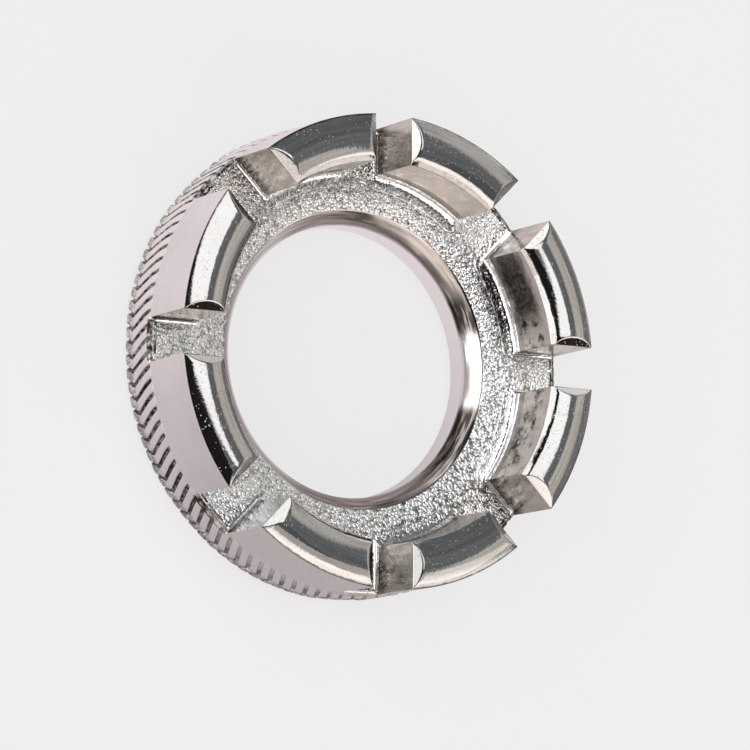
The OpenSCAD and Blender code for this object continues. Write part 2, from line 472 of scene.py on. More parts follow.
def makeCastNickel(name, depth, pitting):
    look = castNickel
    material, tree, where = startMaterial(name, look["bright"])
    skin = addEffect(tree, castGrain, where, Grain=look["grain"], Pebbles=1.0)
    rough = newNode(tree, "ShaderNodeAttribute", attribute_name="skin").outputs["Fac"]
    x, y = axes(tree, where)[:2]
    # a painted highlight: the plate brighter and less pitted between +X and +Y
    brighter = zone(tree, calc(tree, "ADD", x, y), *look["brighterZone"])
    pitted = zone(tree, calc(tree, "SUBTRACT", x, y), *look["pittedZone"])
    share = product(tree, pitted, ramp(tree, brighter, 0, 1, pitting, pitting * look["brighterPits"]))
    pits = calc(tree, "MULTIPLY", skin["Pits"], product(tree, rough, share), clamp=True)
    colour = blend(tree, brighter, look["bright"], look["brighter"])
    # the grain's hollows get painted shade
    colour = blend(tree, pits, colour, look["pitShade"])
    radius = fromAxis(tree, where)
    # painted shade on the front face's rounded rim
    colour = blend(tree, zone(tree, radius, *look["rimZone"], base=plateRadius), colour, look["paintedShade"])
    # painted shade in the corners at the jaws' feet and in the west slot's fillets
    side = product(tree, zone(tree, x, *look["footEast"]), zone(tree, y, *look["footNorth"]))
    side = calc(tree, "MAXIMUM", side, zone(tree, y, *look["thinNorth"]))
    strip = product(tree, zone(tree, radius, *look["footInner"]), zone(tree, radius, *look["footOuter"]))
    cover = product(tree, side, strip, clouds(tree, where, *look["footCover"]))
    cover = calc(tree, "MAXIMUM", cover, westPocket(tree, where, look))
    colour = blend(tree, cover, colour, look["paintedShade"])
    flat = look["flatGrain"]
    height = product(tree, skin["Height"], calc(tree, "MULTIPLY_ADD", rough, 1 - flat, flat))
    height = calc(tree, "MULTIPLY_ADD", radius, look["lean"] / depth, height)
    return finishMetal(material, colour, clouds(tree, where, *look["roughness"]), height, depth)


crownNickel = {
    "bright": (0.50, 0.495, 0.49),
    "warm": (0.485, 0.47, 0.456),
    "warmClouds": ((260.0,), (0.35, 0.75)),
    "mottle": ((5200.0, 2.0, 0.7), (0.3, 0.7, 0.94, 1.04)),
    "marks": {"Lines": 5200.0, "Waves": 520.0, "Ripples": 1.5, "Pitting": 5.0},
    # a thin, uneven painted dark reflection along the outer edge
    "rim": (0.07, 0.064, 0.062),
    "rimSwing": (0.3, (1500.0, 3.0, 0.6)),
    "rimZone": (-0.2, -0.1, 0.0, 0.85),  # from the jaws' outer radius
    "depth": 0.0000035,
    "roughness": (0.045, 0.11),
    "speckRoughness": 0.1,
}


def makeCrownNickel():
    look = crownNickel
    material, tree, where = startMaterial("crownNickel", look["bright"])
    marks = addEffect(tree, polishMarks, where, **look["marks"])
    colour = blend(tree, clouds(tree, where, *look["warmClouds"]), look["bright"], look["warm"])
    colour = blend(tree, 1.0, colour, clouds(tree, where, *look["mottle"]), "MULTIPLY")
    radius = unsteady(tree, fromAxis(tree, where), where, *look["rimSwing"])
    # painted dark reflection along the jaws' outer edge
    colour = blend(tree, zone(tree, radius, *look["rimZone"], base=jawRadius), colour, look["rim"])
    roughness = calc(tree, "ADD", ramp(tree, marks["Streaks"], 0, 1, *look["roughness"]),
                     calc(tree, "MULTIPLY", marks["Specks"], look["speckRoughness"]))
    return finishMetal(material, colour, roughness, marks["Height"], look["depth"])


satinNickel = {
    "bright": (0.82, 0.785, 0.79),
    "shade": (0.765, 0.728, 0.738),
    "shadeClouds": ((160.0, 2.0), (0.35, 0.7)),
    "marks": {"Lines": 3800.0, "Waves": 500.0, "Ripples": 1.6, "Pitting": 9.0},
    "depth": 0.0000012,
    "roughness": ((700.0,), (0.3, 0.7, 0.24, 0.32)),
}


def makeSatinNickel():
    look = satinNickel
    material, tree, where = startMaterial("satinNickel", look["bright"])
    marks = addEffect(tree, polishMarks, where, **look["marks"])
    colour = blend(tree, clouds(tree, where, *look["shadeClouds"]), look["bright"], look["shade"])
    roughness = clouds(tree, where, *look["roughness"])
    return finishMetal(material, colour, roughness, marks["Height"], look["depth"])


boreNickel = {
    "bright": (0.84, 0.82, 0.84),
    "marks": {"Lines": 4200.0, "Waves": 300.0, "Ripples": 0.15, "Pitting": 0.6},
    # the rounded front edge is darker and lined with brown, but not at -X
    "edge": (0.52, 0.485, 0.465),
    "brown": (0.27, 0.235, 0.22),
    "edgeHeight": (-2.2, -1.7),  # from the plate's front
    "edgeEast": (-9, -4),
    # towards +X it is brighter, with dark streaks on both sides of that, the longer one to the south
    "eastZone": (5, 9),
    "brightened": (0.88, 0.87, 0.86),
    "brightenedAcross": (3.8, 2.6),
    "dark": (0.045, 0.038, 0.034),
    "darkAcross": (3.0, 4.2),
    "darkNorth": (7.8, 5.8),
    "darkSouth": (-11.5, -8.5),
    "darkLevels": (0.1, 0.5, 0.5, 1.0),
    "depth": 0.000005,
    "roughness": 0.17,
}


def makeBoreNickel():
    look = boreNickel
    material, tree, where = startMaterial("boreNickel", look["bright"])
    marks = addEffect(tree, polishMarks, where, **look["marks"])
    x, y, z = axes(tree, where)
    edge = product(tree, zone(tree, z, *look["edgeHeight"], base=plateTop),
                   zone(tree, x, *look["edgeEast"]))
    colour = blend(tree, edge, look["bright"], look["edge"])
    colour = blend(tree, product(tree, edge, marks["Streaks"]), colour, look["brown"])
    east = product(tree, edge, zone(tree, x, *look["eastZone"]))
    across = calc(tree, "ABSOLUTE", y)
    brightened = product(tree, east, zone(tree, across, *look["brightenedAcross"]))
    colour = blend(tree, brightened, colour, look["brightened"])
    dark = product(tree, zone(tree, y, *look["darkNorth"]), zone(tree, y, *look["darkSouth"]),
                   zone(tree, across, *look["darkAcross"]),
                   ramp(tree, marks["Streaks"], *look["darkLevels"]), east)
    colour = blend(tree, dark, colour, look["dark"])
    return finishMetal(material, colour, look["roughness"], marks["Height"], look["depth"])


wallNickel = {
    "inner": {
        "bright": (0.58, 0.535, 0.50),
        "stain": (0.53, 0.485, 0.45),
        "depth": 0.000003,
        "grain": 3000.0,
        "roughness": ((1200.0,), (0.3, 0.7, 0.26, 0.38)),
        "footBand": (1.8, 1.4, 0.0, 0.6),  # from the plate's front
    },
    "end": {
        "bright": (0.62, 0.58, 0.54),
        "stain": (0.46, 0.41, 0.36),
        "depth": 0.000004,
        "grain": 4200.0,
        "roughness": ((1200.0,), (0.3, 0.7, 0.14, 0.26)),
        "footBand": (2.2, 0.8, 0.0, 0.85),
    },
    "pebbles": 0.6,
    "upright": (1.0, 1.0, 0.22),  # draws the stains out upwards
    "stains": (900.0, 3.0, 0.6),
    "stainLevels": (0.36, 0.66),
    "footShade": (0.09, 0.08, 0.072),
    # end walls: those of the slot between -X and -Y are the brightest, by x + y
    "brighter": (0.93, 0.92, 0.90),
    "brighterZone": (-21, -24),
    # and the slot at -X is dark above its fillets
    "pocketWest": (-17.4, -18.4),
    "pocketAcross": (3.2, 2.6),
    "pocketHeight": (2.2, 1.5, 0.0, 0.9),  # from the plate's front
    # inner walls: painted shade halfway up them on the ring's +X side
    "innerShade": (0.014, 0.011, 0.010),
    "innerShadeSwing": (2, (1300.0, 3.0, 0.65)),
    "innerShadeBottom": (4.9, 6.2),
    "innerShadeTop": (10.0, 8.7),
    "innerShadeEast": (9, 15),
    "innerShadeCover": ((800.0, 4.0, 0.65), (0.46, 0.66)),
    "innerShadeMottle": ((2600.0, 3.0, 0.7), (0.36, 0.6, 0.86, 1.0)),
    "innerShadeNorth": (2, 6),
}


def paintEndWalls(tree, where, colour):
    look = wallNickel
    x, y = axes(tree, where)[:2]
    brighter = zone(tree, calc(tree, "ADD", x, y), *look["brighterZone"])
    colour = blend(tree, brighter, colour, look["brighter"])
    return blend(tree, westPocket(tree, where, look), colour, look["footShade"])


def paintInnerWalls(tree, where, colour):
    look = wallNickel
    x, y, z = axes(tree, where)
    height = unsteady(tree, z, where, *look["innerShadeSwing"])
    band = product(tree, zone(tree, height, *look["innerShadeBottom"]), zone(tree, height, *look["innerShadeTop"]),
                   zone(tree, x, *look["innerShadeEast"]))
    solid = product(tree, clouds(tree, where, *look["innerShadeMottle"]), zone(tree, y, *look["innerShadeNorth"]))
    cover = calc(tree, "MAXIMUM", clouds(tree, where, *look["innerShadeCover"]), solid)
    # painted shade halfway up the inner walls
    return blend(tree, product(tree, band, cover), colour, look["innerShade"])


def makeWallNickel(which, paintWalls):
    look = wallNickel[which]
    material, tree, where = startMaterial(which + "WallNickel", look["bright"])
    skin = addEffect(tree, castGrain, where, Grain=look["grain"], Pebbles=wallNickel["pebbles"])
    upright = vectorCalc(tree, "MULTIPLY", where, wallNickel["upright"])
    stains = clouds(tree, upright, wallNickel["stains"], wallNickel["stainLevels"])
    colour = paintWalls(tree, where, blend(tree, stains, look["bright"], look["stain"]))
    shaded = zone(tree, axes(tree, where)[2], *look["footBand"], base=plateTop)
    colour = blend(tree, shaded, colour, wallNickel["footShade"])
    roughness = clouds(tree, where, *look["roughness"])
    return finishMetal(material, colour, roughness, skin["Height"], look["depth"])


knurlNickel = {
    "bright": (0.86, 0.82, 0.82),
    "knurlShade": (0.022, 0.019, 0.018),
    "grain": 4200.0,
    "pebbles": 0.6,
    "depth": 0.000010,
    "backDepth": 0.00008,
    "roughness": ((1500.0,), (0.3, 0.7, 0.20, 0.34)),
    "backSwing": (1, (500.0,)),
    "backZone": (1.9, 0.8),  # height at which the rougher skin near the back face starts and is full
    "backPits": 0.6,
    # the grooves' painted shade is patchy, and thin to the south
    "knurlShadeLevels": (0.03, 0.42),
    "knurlShadeClouds": ((1900.0, 3.0), (0.3, 0.62, 0.5, 1.0)),
    "southZone": (-14, -19, 1.0, 0.2),
    "knurlBackShade": 0.75,
}


def makeKnurlNickel():
    look = knurlNickel
    material, tree, where = startMaterial("knurlNickel", look["bright"])
    skin = addEffect(tree, castGrain, where, Grain=look["grain"], Pebbles=look["pebbles"])
    groove = newNode(tree, "ShaderNodeAttribute", attribute_name="groove").outputs["Fac"]
    y, z = axes(tree, where)[1:]
    back = zone(tree, unsteady(tree, z, where, *look["backSwing"]), *look["backZone"])
    south = calc(tree, "MAXIMUM", zone(tree, y, *look["southZone"]), back)
    knurlShade = product(tree, clouds(tree, where, *look["knurlShadeClouds"]), south,
                   ramp(tree, back, 0, 1, 1.0, look["knurlBackShade"]), ramp(tree, groove, *look["knurlShadeLevels"]))
    # painted shade in the grooves, darker where they are deeper
    colour = blend(tree, knurlShade, look["bright"], look["knurlShade"])
    # the pits near the back face get painted shade
    pits = product(tree, skin["Pits"], calc(tree, "MULTIPLY", back, look["backPits"]))
    colour = blend(tree, pits, colour, look["knurlShade"])
    gain = ramp(tree, back, 0, 1, 1.0, look["backDepth"] / look["depth"])
    height = product(tree, skin["Height"], gain)
    return finishMetal(material, colour, clouds(tree, where, *look["roughness"]), height, look["depth"])


metals = {
    "cast": makeCastNickel("castNickel", depth=0.000080, pitting=0.5),
    "foot": makeCastNickel("footNickel", depth=0.000055, pitting=0.45),
    "crown": makeCrownNickel(),
    "satin": makeSatinNickel(),
    "bore": makeBoreNickel(),
    "inner": makeWallNickel("inner", paintInnerWalls),
    "end": makeWallNickel("end", paintEndWalls),
    "knurl": makeKnurlNickel(),
}
print("materials ready")


# Mesh helpers, in millimetres
def makePiece(name, points, faces, materials, faceMetals=None, layers=None):
    mesh = bpy.data.meshes.new(name)
    mesh.from_pydata([tuple(p) for p in np.asarray(points) * mm], [], faces)
    for material in materials:
        mesh.materials.append(metals[material])
    if faceMetals is not None:
        mesh.polygons.foreach_set("material_index", np.asarray(faceMetals, np.int32))
    for label, values in (layers or {}).items():
        layer = mesh.attributes.new(label, "FLOAT", "POINT")
        layer.data.foreach_set("value", np.asarray(values, np.float32).ravel())
    shape = bmesh.new()
    shape.from_mesh(mesh)
    bmesh.ops.recalc_face_normals(shape, faces=shape.faces)
    shape.to_mesh(mesh)
    shape.free()
    mesh.shade_smooth()
    piece = bpy.data.objects.new(name, mesh)
    bpy.context.scene.collection.objects.link(piece)
    return piece


def gridFaces(rows, columns, base=0, closed=True):
    # quads of a grid whose last row meets the first, as the last column does where closed
    faces = []
    for k in range(rows):
        n = (k + 1) % rows
        for c in range(columns if closed else columns - 1):
            d = (c + 1) % columns
            faces.append((base + k * columns + c, base + k * columns + d,
                          base + n * columns + d, base + n * columns + c))
    return faces


def applyTree(piece, tree, values):
    # runs a Geometry Nodes tree on a piece and keeps the result as a plain mesh
    modifier = piece.modifiers.new(tree.name, "NODES")
    modifier.node_group = tree
    sockets = {s.name: s.identifier for s in tree.interface.items_tree if s.in_out == "INPUT"}
    for label, value in values.items():
        modifier[sockets[label]] = value
    evaluated = piece.evaluated_get(bpy.context.evaluated_depsgraph_get())
    mesh = bpy.data.meshes.new_from_object(evaluated)
    piece.modifiers.clear()
    old = piece.data
    piece.data = mesh
    bpy.data.meshes.remove(old)
    mesh.name = piece.name
    mesh.shade_smooth()


def rideOn(piece, slot, *nodes):
    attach(piece, "root")
    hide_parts(*nodes)


def roundLines(radius, steps):
    # distances from an edge of the lines that stand evenly turned once it is rounded
    turns = np.linspace(math.pi / 4, 0, steps + 1)
    return radius * (1 - np.tan(turns))


def softMin(a, b, width):
    # the lower of two heights, with a soft change between them
    gap = np.clip(0.5 + 0.5 * (b - a) / width, 0, 1)
    return b * (1 - gap) + a * gap - width * gap * (1 - gap)


# Cast skin: pushes points along their normals by noise, where the attribute skin says
castSkin = {
    "bumps": 1500.0,
    "seed": 7.0,
    "texture": {"Detail": 3.0, "Roughness": 0.62},
    "level": 0.56,  # the noise's value at which a point stays
    "gain": 2.6,
}


def makeSkinTree():
    tree, given, out = makeGroup(
        "GeometryNodeTree", "castSkin",
        {"Geometry": "Geometry", "Bumps": "Float", "Depth": "Float", "Seed": "Float"},
        {"Geometry": "Geometry"})
    place = newNode(tree, "GeometryNodeInputPosition").outputs[0]
    normal = newNode(tree, "GeometryNodeInputNormal").outputs[0]
    mask = newNode(tree, "GeometryNodeInputNamedAttribute", {"Name": "skin"}, data_type="FLOAT").outputs[0]
    texture = {"Vector": place, "W": given["Seed"], "Scale": given["Bumps"], **castSkin["texture"]}
    grain = newNode(tree, "ShaderNodeTexNoise", texture, noise_dimensions="4D").outputs["Fac"]
    rise = calc(tree, "MULTIPLY", calc(tree, "SUBTRACT", grain, castSkin["level"]), castSkin["gain"])
    rise = product(tree, rise, calc(tree, "MULTIPLY", mask, given["Depth"]))
    push = vectorCalc(tree, "SCALE", normal, Scale=rise)
    moved = newNode(tree, "GeometryNodeSetPosition", {"Geometry": given["Geometry"], "Offset": push})
    real = newNode(tree, "GeometryNodeRealizeInstances", {0: moved.outputs[0]})
    tree.links.new(real.outputs[0], out["Geometry"])
    return tree


skinTree = makeSkinTree()


def addSkin(piece, depth):
    applyTree(piece, skinTree, {"Bumps": castSkin["bumps"], "Depth": depth * mm, "Seed": castSkin["seed"]})


# Ring plate: a lathe with a rounded bore, its front face a rough cast skin
plate = {
    "columns": 840,
    "frontRows": 52,
    "backRows": 18,
    "boreRows": 5,
    "turnRows": 5,
    "boreFront": 1.4,
    "boreTurns": ((0, 0), (0.16, 40), (0.8, 59), (1, 90)),  # slope in degrees along the hole's front edge
    "boreSteps": 24,
    "boreBack": 0.3,
    "boreClear": 0.12,  # between the bore's wall and its back edge
    "rim": 0.25,  # how far the front face runs out over the band
    "rimRound": 0.27,
    "underRim": (-0.04, 0.6),  # outwards from the rim's rounding, and down from the front
    "underBand": 0.7,
    "dish": 0.3,  # how far the front face sinks towards the bore
    "dishPower": 1.5,
    "backLift": 0.03,  # keeps the back face's skin above the lowest edge
    "skin": 0.022,
    "halfSkin": 0.5,  # share of the skin's depth on the rim and the back face
    "skinEnd": (0.7, 0.3),  # turns of the hole's edge, in radians, at which the skin ends and is full
}


def plateSection():
    # radius, height and share of the skin of each row, and the rows between which the bore is smooth
    front = boreRadius + plate["boreFront"]
    outer = plateRadius + plate["rim"]
    rimRound, bevel, half = plate["rimRound"], plate["boreBack"], plate["halfSkin"]
    rows = [(outer + rimRound * math.sin(turn), plateTop - rimRound * (1 - math.cos(turn)), half)
            for turn in np.linspace(math.pi / 2, 0, plate["turnRows"])[:-1]]
    for r in np.linspace(outer, front, plate["frontRows"]):
        share = min(max((jawInner - r) / (jawInner - front), 0), 1)
        rows.append((r, plateTop - plate["dish"] * share ** plate["dishPower"], 1))
    smoothFrom = len(rows) + 1
    steps = np.linspace(0, 1, plate["boreSteps"] + 1)
    turns = np.radians(np.interp((steps[1:] + steps[:-1]) / 2, *zip(*plate["boreTurns"])))
    reach, fall = np.cumsum(np.cos(turns)), np.cumsum(np.sin(turns))
    bare, full = plate["skinEnd"]
    for across, down, turn in zip(reach / reach[-1], fall / reach[-1], turns):
        rows.append((front - plate["boreFront"] * across,
                     plateTop - plate["dish"] - plate["boreFront"] * down,
                     min(max((bare - turn) / (bare - full), 0), 1)))
    for z in np.linspace(rows[-1][1], bevel + plate["boreClear"], plate["boreRows"])[1:]:
        rows.append((boreRadius, z, 0))
    for turn in np.linspace(0, math.pi / 2, plate["turnRows"]):
        rows.append((boreRadius + bevel * (1 - math.cos(turn)), bevel * (1 - math.sin(turn)), 0))
    smoothTo = len(rows) - 1
    for r in np.linspace(boreRadius + bevel, plateRadius, plate["backRows"])[1:]:
        rows.append((r, plate["backLift"], half))
    rows.append((plateRadius, plateTop - plate["underBand"], 0))
    out, down = plate["underRim"]
    rows.append((outer + rimRound + out, plateTop - down, 0))
    return np.array(rows), smoothFrom, smoothTo


def makePlate():
    section, smoothFrom, smoothTo = plateSection()
    rows, count = len(section), plate["columns"]
    angles = np.arange(count) * 2 * math.pi / count
    points = np.stack([np.outer(section[:, 0], np.cos(angles)), np.outer(section[:, 0], np.sin(angles)),
                       np.outer(section[:, 1], np.ones(count))], axis=2).reshape(-1, 3)
    rowMetals = [1 if smoothFrom <= k < smoothTo else 0 for k in range(rows)]
    piece = makePiece("ringPlate", points, gridFaces(rows, count), ["cast", "bore"],
                      np.repeat(rowMetals, count), {"skin": np.repeat(section[:, 2], count)})
    addSkin(piece, plate["skin"])
    rideOn(piece, "cast_plate", "back_plate")


makePlate()
print("ring plate made")


# Jaws: blocks bent round the ring, crowned on top, with rounded edges and lead-ins at the slots
jaw = {
    "crownRise": 0.6,
    "crownInset": 2.1,
    "bevel": 0.44,
    "crease": 0.2,  # softness of the edge between the crown and the bevel
    "creaseLines": (-0.1, -0.05, 0, 0.05, 0.1),  # the mesh's lines beside that edge
    "creaseClear": 0.03,
    "waver": 0.045,  # unevenness of the bevel's edge
    "waverWaves": ((1, 1), (2.3, 2.1), (4.7, 0.7)),  # each wave's pace along the jaw and shift by the seed
    "seedStep": 1.7,
    "leadIn": 0.8,  # set-back of the lead-in at the crown's peak
    "leadSoft": 0.04,
    "leadLeast": 0.12,  # from a rounded edge to the line along the lead-in
    "leadStep": 0.05,
    "edge": 0.07,  # rounding of the edges
    "edgeSteps": 3,
    "support": 0.04,  # from a rounded edge to the mesh's next line
    "sink": 0.05,  # how far a jaw reaches down into the plate
    "endZone": 2.0,  # from a jaw's end to its evenly spaced lines
    "endLines": 6,
    "leadLines": 6,
    "middleLines": 46,
    "acrossLines": 34,
    "heightLines": 9,
    "metals": ("crown", "inner", "satin", "end"),
    # the metal of each side of the block: its ends, its inner and outer walls, its foot and its top
    "sides": {(0, False): "end", (0, True): "end", (1, False): "inner", (1, True): "satin",
              (2, False): "inner", (2, True): "crown"},
}
jawThick = jawRadius - jawInner
edgeHeight = jawTop - jaw["crownRise"]
crownRadius = (jaw["crownInset"] ** 2 + jaw["crownRise"] ** 2) / (2 * jaw["crownRise"])
crownMiddle = jawRadius - jaw["crownInset"]


def crownHeight(r, shift=0.0):
    # the crown's arc, cut by the bevel inside it
    centre = jawTop - crownRadius
    arc = centre + np.sqrt(crownRadius ** 2 - (r - crownMiddle) ** 2)
    creaseRadius = jawInner + jaw["bevel"] + shift
    creaseHeight = centre + np.sqrt(crownRadius ** 2 - (creaseRadius - crownMiddle) ** 2)
    return softMin(arc, creaseHeight + (r - creaseRadius), jaw["crease"])


def topHeight(r, inward, angle, seed):
    # the crown with an uneven bevel, cut by the lead-in at the jaw's end
    place = angle * jawInner
    waver = sum(np.sin(pace * place + shift * seed) for pace, shift in jaw["waverWaves"])
    lead = edgeHeight + inward * jaw["crownRise"] / jaw["leadIn"]
    shift = jaw["waver"] / len(jaw["waverWaves"]) * waver
    return softMin(crownHeight(r, shift), lead, jaw["leadSoft"])


def endLines(r):
    # distances from a jaw's end at which its lines run, for each radius
    first = jaw["edge"] + jaw["support"]
    lead = (crownHeight(r) - edgeHeight) * jaw["leadIn"] / jaw["crownRise"]
    lead = np.maximum(lead, jaw["edge"] + jaw["leadLeast"])
    past = lead + jaw["leadStep"]
    lines = [np.full_like(r, value) for value in roundLines(jaw["edge"], jaw["edgeSteps"])]
    lines += [first + (lead - first) * share for share in np.linspace(0, 1, jaw["leadLines"] + 1)]
    lines += [past + (jaw["endZone"] - past) * share for share in np.linspace(0, 1, jaw["endLines"])]
    return np.array(lines)


def acrossLines():
    first = jaw["edge"] + jaw["support"]
    ends = roundLines(jaw["edge"], jaw["edgeSteps"])
    crease = jaw["bevel"] + np.array(jaw["creaseLines"])
    middle = [v for v in np.linspace(first, jawThick - first, jaw["acrossLines"])
              if np.abs(v - crease).min() > jaw["creaseClear"]]
    return np.sort(np.concatenate([ends, middle, crease, jawThick - ends]))


def heightLines(high):
    edge = jaw["edge"]
    low = np.linspace(2 * jaw["support"], high - edge - jaw["support"], jaw["heightLines"])
    return np.concatenate([[0, jaw["support"]], low, high - roundLines(edge, jaw["edgeSteps"])[::-1]])


def shellLattice(nu, nv, nw):
    # places of a block's outer points, and its quads with the side that each is on
    index = -np.ones((nu, nv, nw), int)
    inside = np.zeros((nu, nv, nw), bool)
    inside[1:-1, 1:-1, 1:-1] = True
    places = np.argwhere(~inside)
    index[tuple(places.T)] = np.arange(len(places))
    faces = []
    for axis, size in enumerate((nu, nv, nw)):
        for side in (0, size - 1):
            sheet = np.take(index, side, axis=axis)
            quads = np.stack([sheet[:-1, :-1], sheet[1:, :-1], sheet[1:, 1:], sheet[:-1, 1:]], axis=2)
            faces += [((axis, side > 0), tuple(q)) for q in quads.reshape(-1, 4).tolist()]
    return places, faces


def jawAngles(i, r, inward, fromStart):
    # the angle of a point that lies a given distance inside one end wall of jaw i
    half = halfSlots[i] if fromStart else halfSlots[(i + 1) % slotCount]
    swing = np.arcsin((half + inward) / r)
    return i * slotStep + swing if fromStart else (i + 1) * slotStep - swing


def makeJaw(i):
    high = jawTop - plateTop + jaw["sink"]
    across, upward = acrossLines(), heightLines(high)
    ends = len(endLines(np.array([jawRadius])))
    nu = 2 * ends + jaw["middleLines"]
    places, faces = shellLattice(nu, len(across), len(upward))
    iu = places[:, 0]
    v, w = across[places[:, 1]], upward[places[:, 2]]
    lines = endLines(jawInner + v)
    fromStart, fromEnd = iu < ends, iu >= nu - ends
    order = np.where(fromStart, iu, np.where(fromEnd, nu - 1 - iu, ends - 1))
    inward = lines[order, np.arange(len(v))]
    # the block's edges and corners are rounded before it is bent
    edge = jaw["edge"]
    off = np.stack([np.minimum(inward - edge, 0),
                    np.minimum(v - edge, 0) + np.maximum(v - (jawThick - edge), 0),
                    np.maximum(w - (high - edge), 0)], axis=1)
    length = np.maximum(np.linalg.norm(off, axis=1), 1e-9)
    onShell = np.abs(off).max(axis=1) > edge * 0.999
    moved = np.where(onShell[:, None], off * (edge / length)[:, None], off) - off
    inward, v, w = inward + moved[:, 0], v + moved[:, 1], w + moved[:, 2]
    r = jawInner + v
    start = jawAngles(i, r, np.where(fromStart, inward, jaw["endZone"]), True)
    end = jawAngles(i, r, np.where(fromEnd, inward, jaw["endZone"]), False)
    share = np.clip((iu - ends + 1) / (jaw["middleLines"] + 1), 0, 1)
    angle = np.where(fromStart, start, np.where(fromEnd, end, start + (end - start) * share))
    low = plateTop - jaw["sink"]
    z = low + w / high * (topHeight(r, inward, angle, jaw["seedStep"] * i) - low)
    points = np.stack([r * np.cos(angle), r * np.sin(angle), z], axis=1)
    faceMetals = [jaw["metals"].index(jaw["sides"][side]) for side, quad in faces]
    piece = makePiece("jaw%d" % (i + 1), points, [quad for side, quad in faces], jaw["metals"], faceMetals)
    rideOn(piece, "polished_jaw", "jaw_%d" % (i + 1))


for i in range(slotCount):
    makeJaw(i)
print("jaws made")


# Feet: the cast fillets round each jaw, one closed tube along its outline
foot = {
    "innerReach": 1.4,
    "slotReach": 0.8,
    "leastReach": 0.02,
    "edge": 0.07,
    "tuck": 0.15,  # how far the tube reaches into the jaw
    "under": 0.03,  # how far the fillet's ends dip under the surfaces
    "bottom": (-0.1, -0.25),  # height of the tube's inside, without and with a fillet
    "curveSteps": 15,
    "wallSteps": 90,
    "endSteps": 26,
    "cornerSteps": 6,
    "hug": 1.5,  # above 1 the fillet keeps closer to both walls
    "grainPower": {"wall": 2, "start": 5, "end": 5},  # how late on its curve the skin gets rough
    "rimClear": 0.02,
    "skin": 0.008,
}


def footOutline():
    # points round a jaw's foot: distance inside the end, or share of the way along the wall, distance
    # across, which side, outward normal
    edge, thick = foot["edge"], jawThick
    corner = np.linspace(0, math.pi / 2, foot["cornerSteps"])[1:]
    turns = [(math.sin(turn), math.cos(turn)) for turn in corner]
    end = [(edge * (1 - sin), edge * (1 - cos), -sin, -cos) for sin, cos in turns]
    end += [(0, v, -1, 0) for v in np.linspace(edge, thick - edge, foot["endSteps"])[1:]]
    end += [(edge * (1 - cos), thick - edge * (1 - sin), -cos, sin) for sin, cos in turns]
    wall = np.linspace(0, 1, foot["wallSteps"])
    rows = [(share, 0, "wall", 0, -1) for share in wall]
    rows += [(u, v, "end", normalU, normalV) for u, v, normalU, normalV in end]
    rows += [(share, thick, "wall", 0, 1) for share in wall[-2:0:-1]]
    rows += [(u, v, "start", normalU, normalV) for u, v, normalU, normalV in end[::-1]]
    return rows


def footSection(reach, grainPower):
    # offset from the wall, height above the plate, share of cast skin; both ends dip under the surfaces
    tuck, under, (bare, low) = foot["tuck"], foot["under"], foot["bottom"]
    if reach < foot["leastReach"]:
        return [(-tuck, bare, 0)] * (foot["curveSteps"] + 2)
    rows = [(-tuck, reach, 0)]
    for turn in np.linspace(0, math.pi / 2, foot["curveSteps"]):
        rows.append(((reach + 2 * under) * (1 - math.cos(turn)) ** foot["hug"] - under,
                     (reach + 2 * under) * (1 - math.sin(turn)) ** foot["hug"] - under,
                     (turn / math.pi * 2) ** grainPower))
    rows.append((-tuck, low, 0))
    return rows


def makeFeet():
    points, faces, skin = [], [], []
    rim, rimRound, clear = plateRadius + plate["rim"], plate["rimRound"], foot["rimClear"]
    outline, across = footOutline(), foot["curveSteps"] + 2
    for i in range(slotCount):
        faces += gridFaces(len(outline), across, len(points))
        for inward, v, side, normalU, normalV in outline:
            innerReach = foot["innerReach"] * normalV ** 2 if normalV < 0 else 0
            reach = foot["slotReach"] * normalU ** 2 + innerReach
            for offset, rise, depth in footSection(reach, foot["grainPower"][side]):
                r = np.array([jawInner + v + normalV * offset])
                if side == "wall":
                    first = jawAngles(i, r, foot["edge"], True)
                    last = jawAngles(i, r, foot["edge"], False)
                    angle = first + (last - first) * inward
                else:
                    angle = jawAngles(i, r, inward + normalU * offset, side == "start")
                # it follows the plate's rounded rim down
                beyond = min(max(r[0] - rim, 0), rimRound - clear)
                rise -= rimRound - math.sqrt(rimRound ** 2 - beyond ** 2)
                kept = min(r[0], rim + rimRound - clear)
                points.append((kept * math.cos(angle[0]), kept * math.sin(angle[0]), plateTop + rise))
                skin.append(depth)
    piece = makePiece("jawFeet", points, faces, ["foot"], layers={"skin": skin})
    addSkin(piece, foot["skin"])
    rideOn(piece, "cast_plate", "jaw_feet")


makeFeet()
print("jaw feet made")


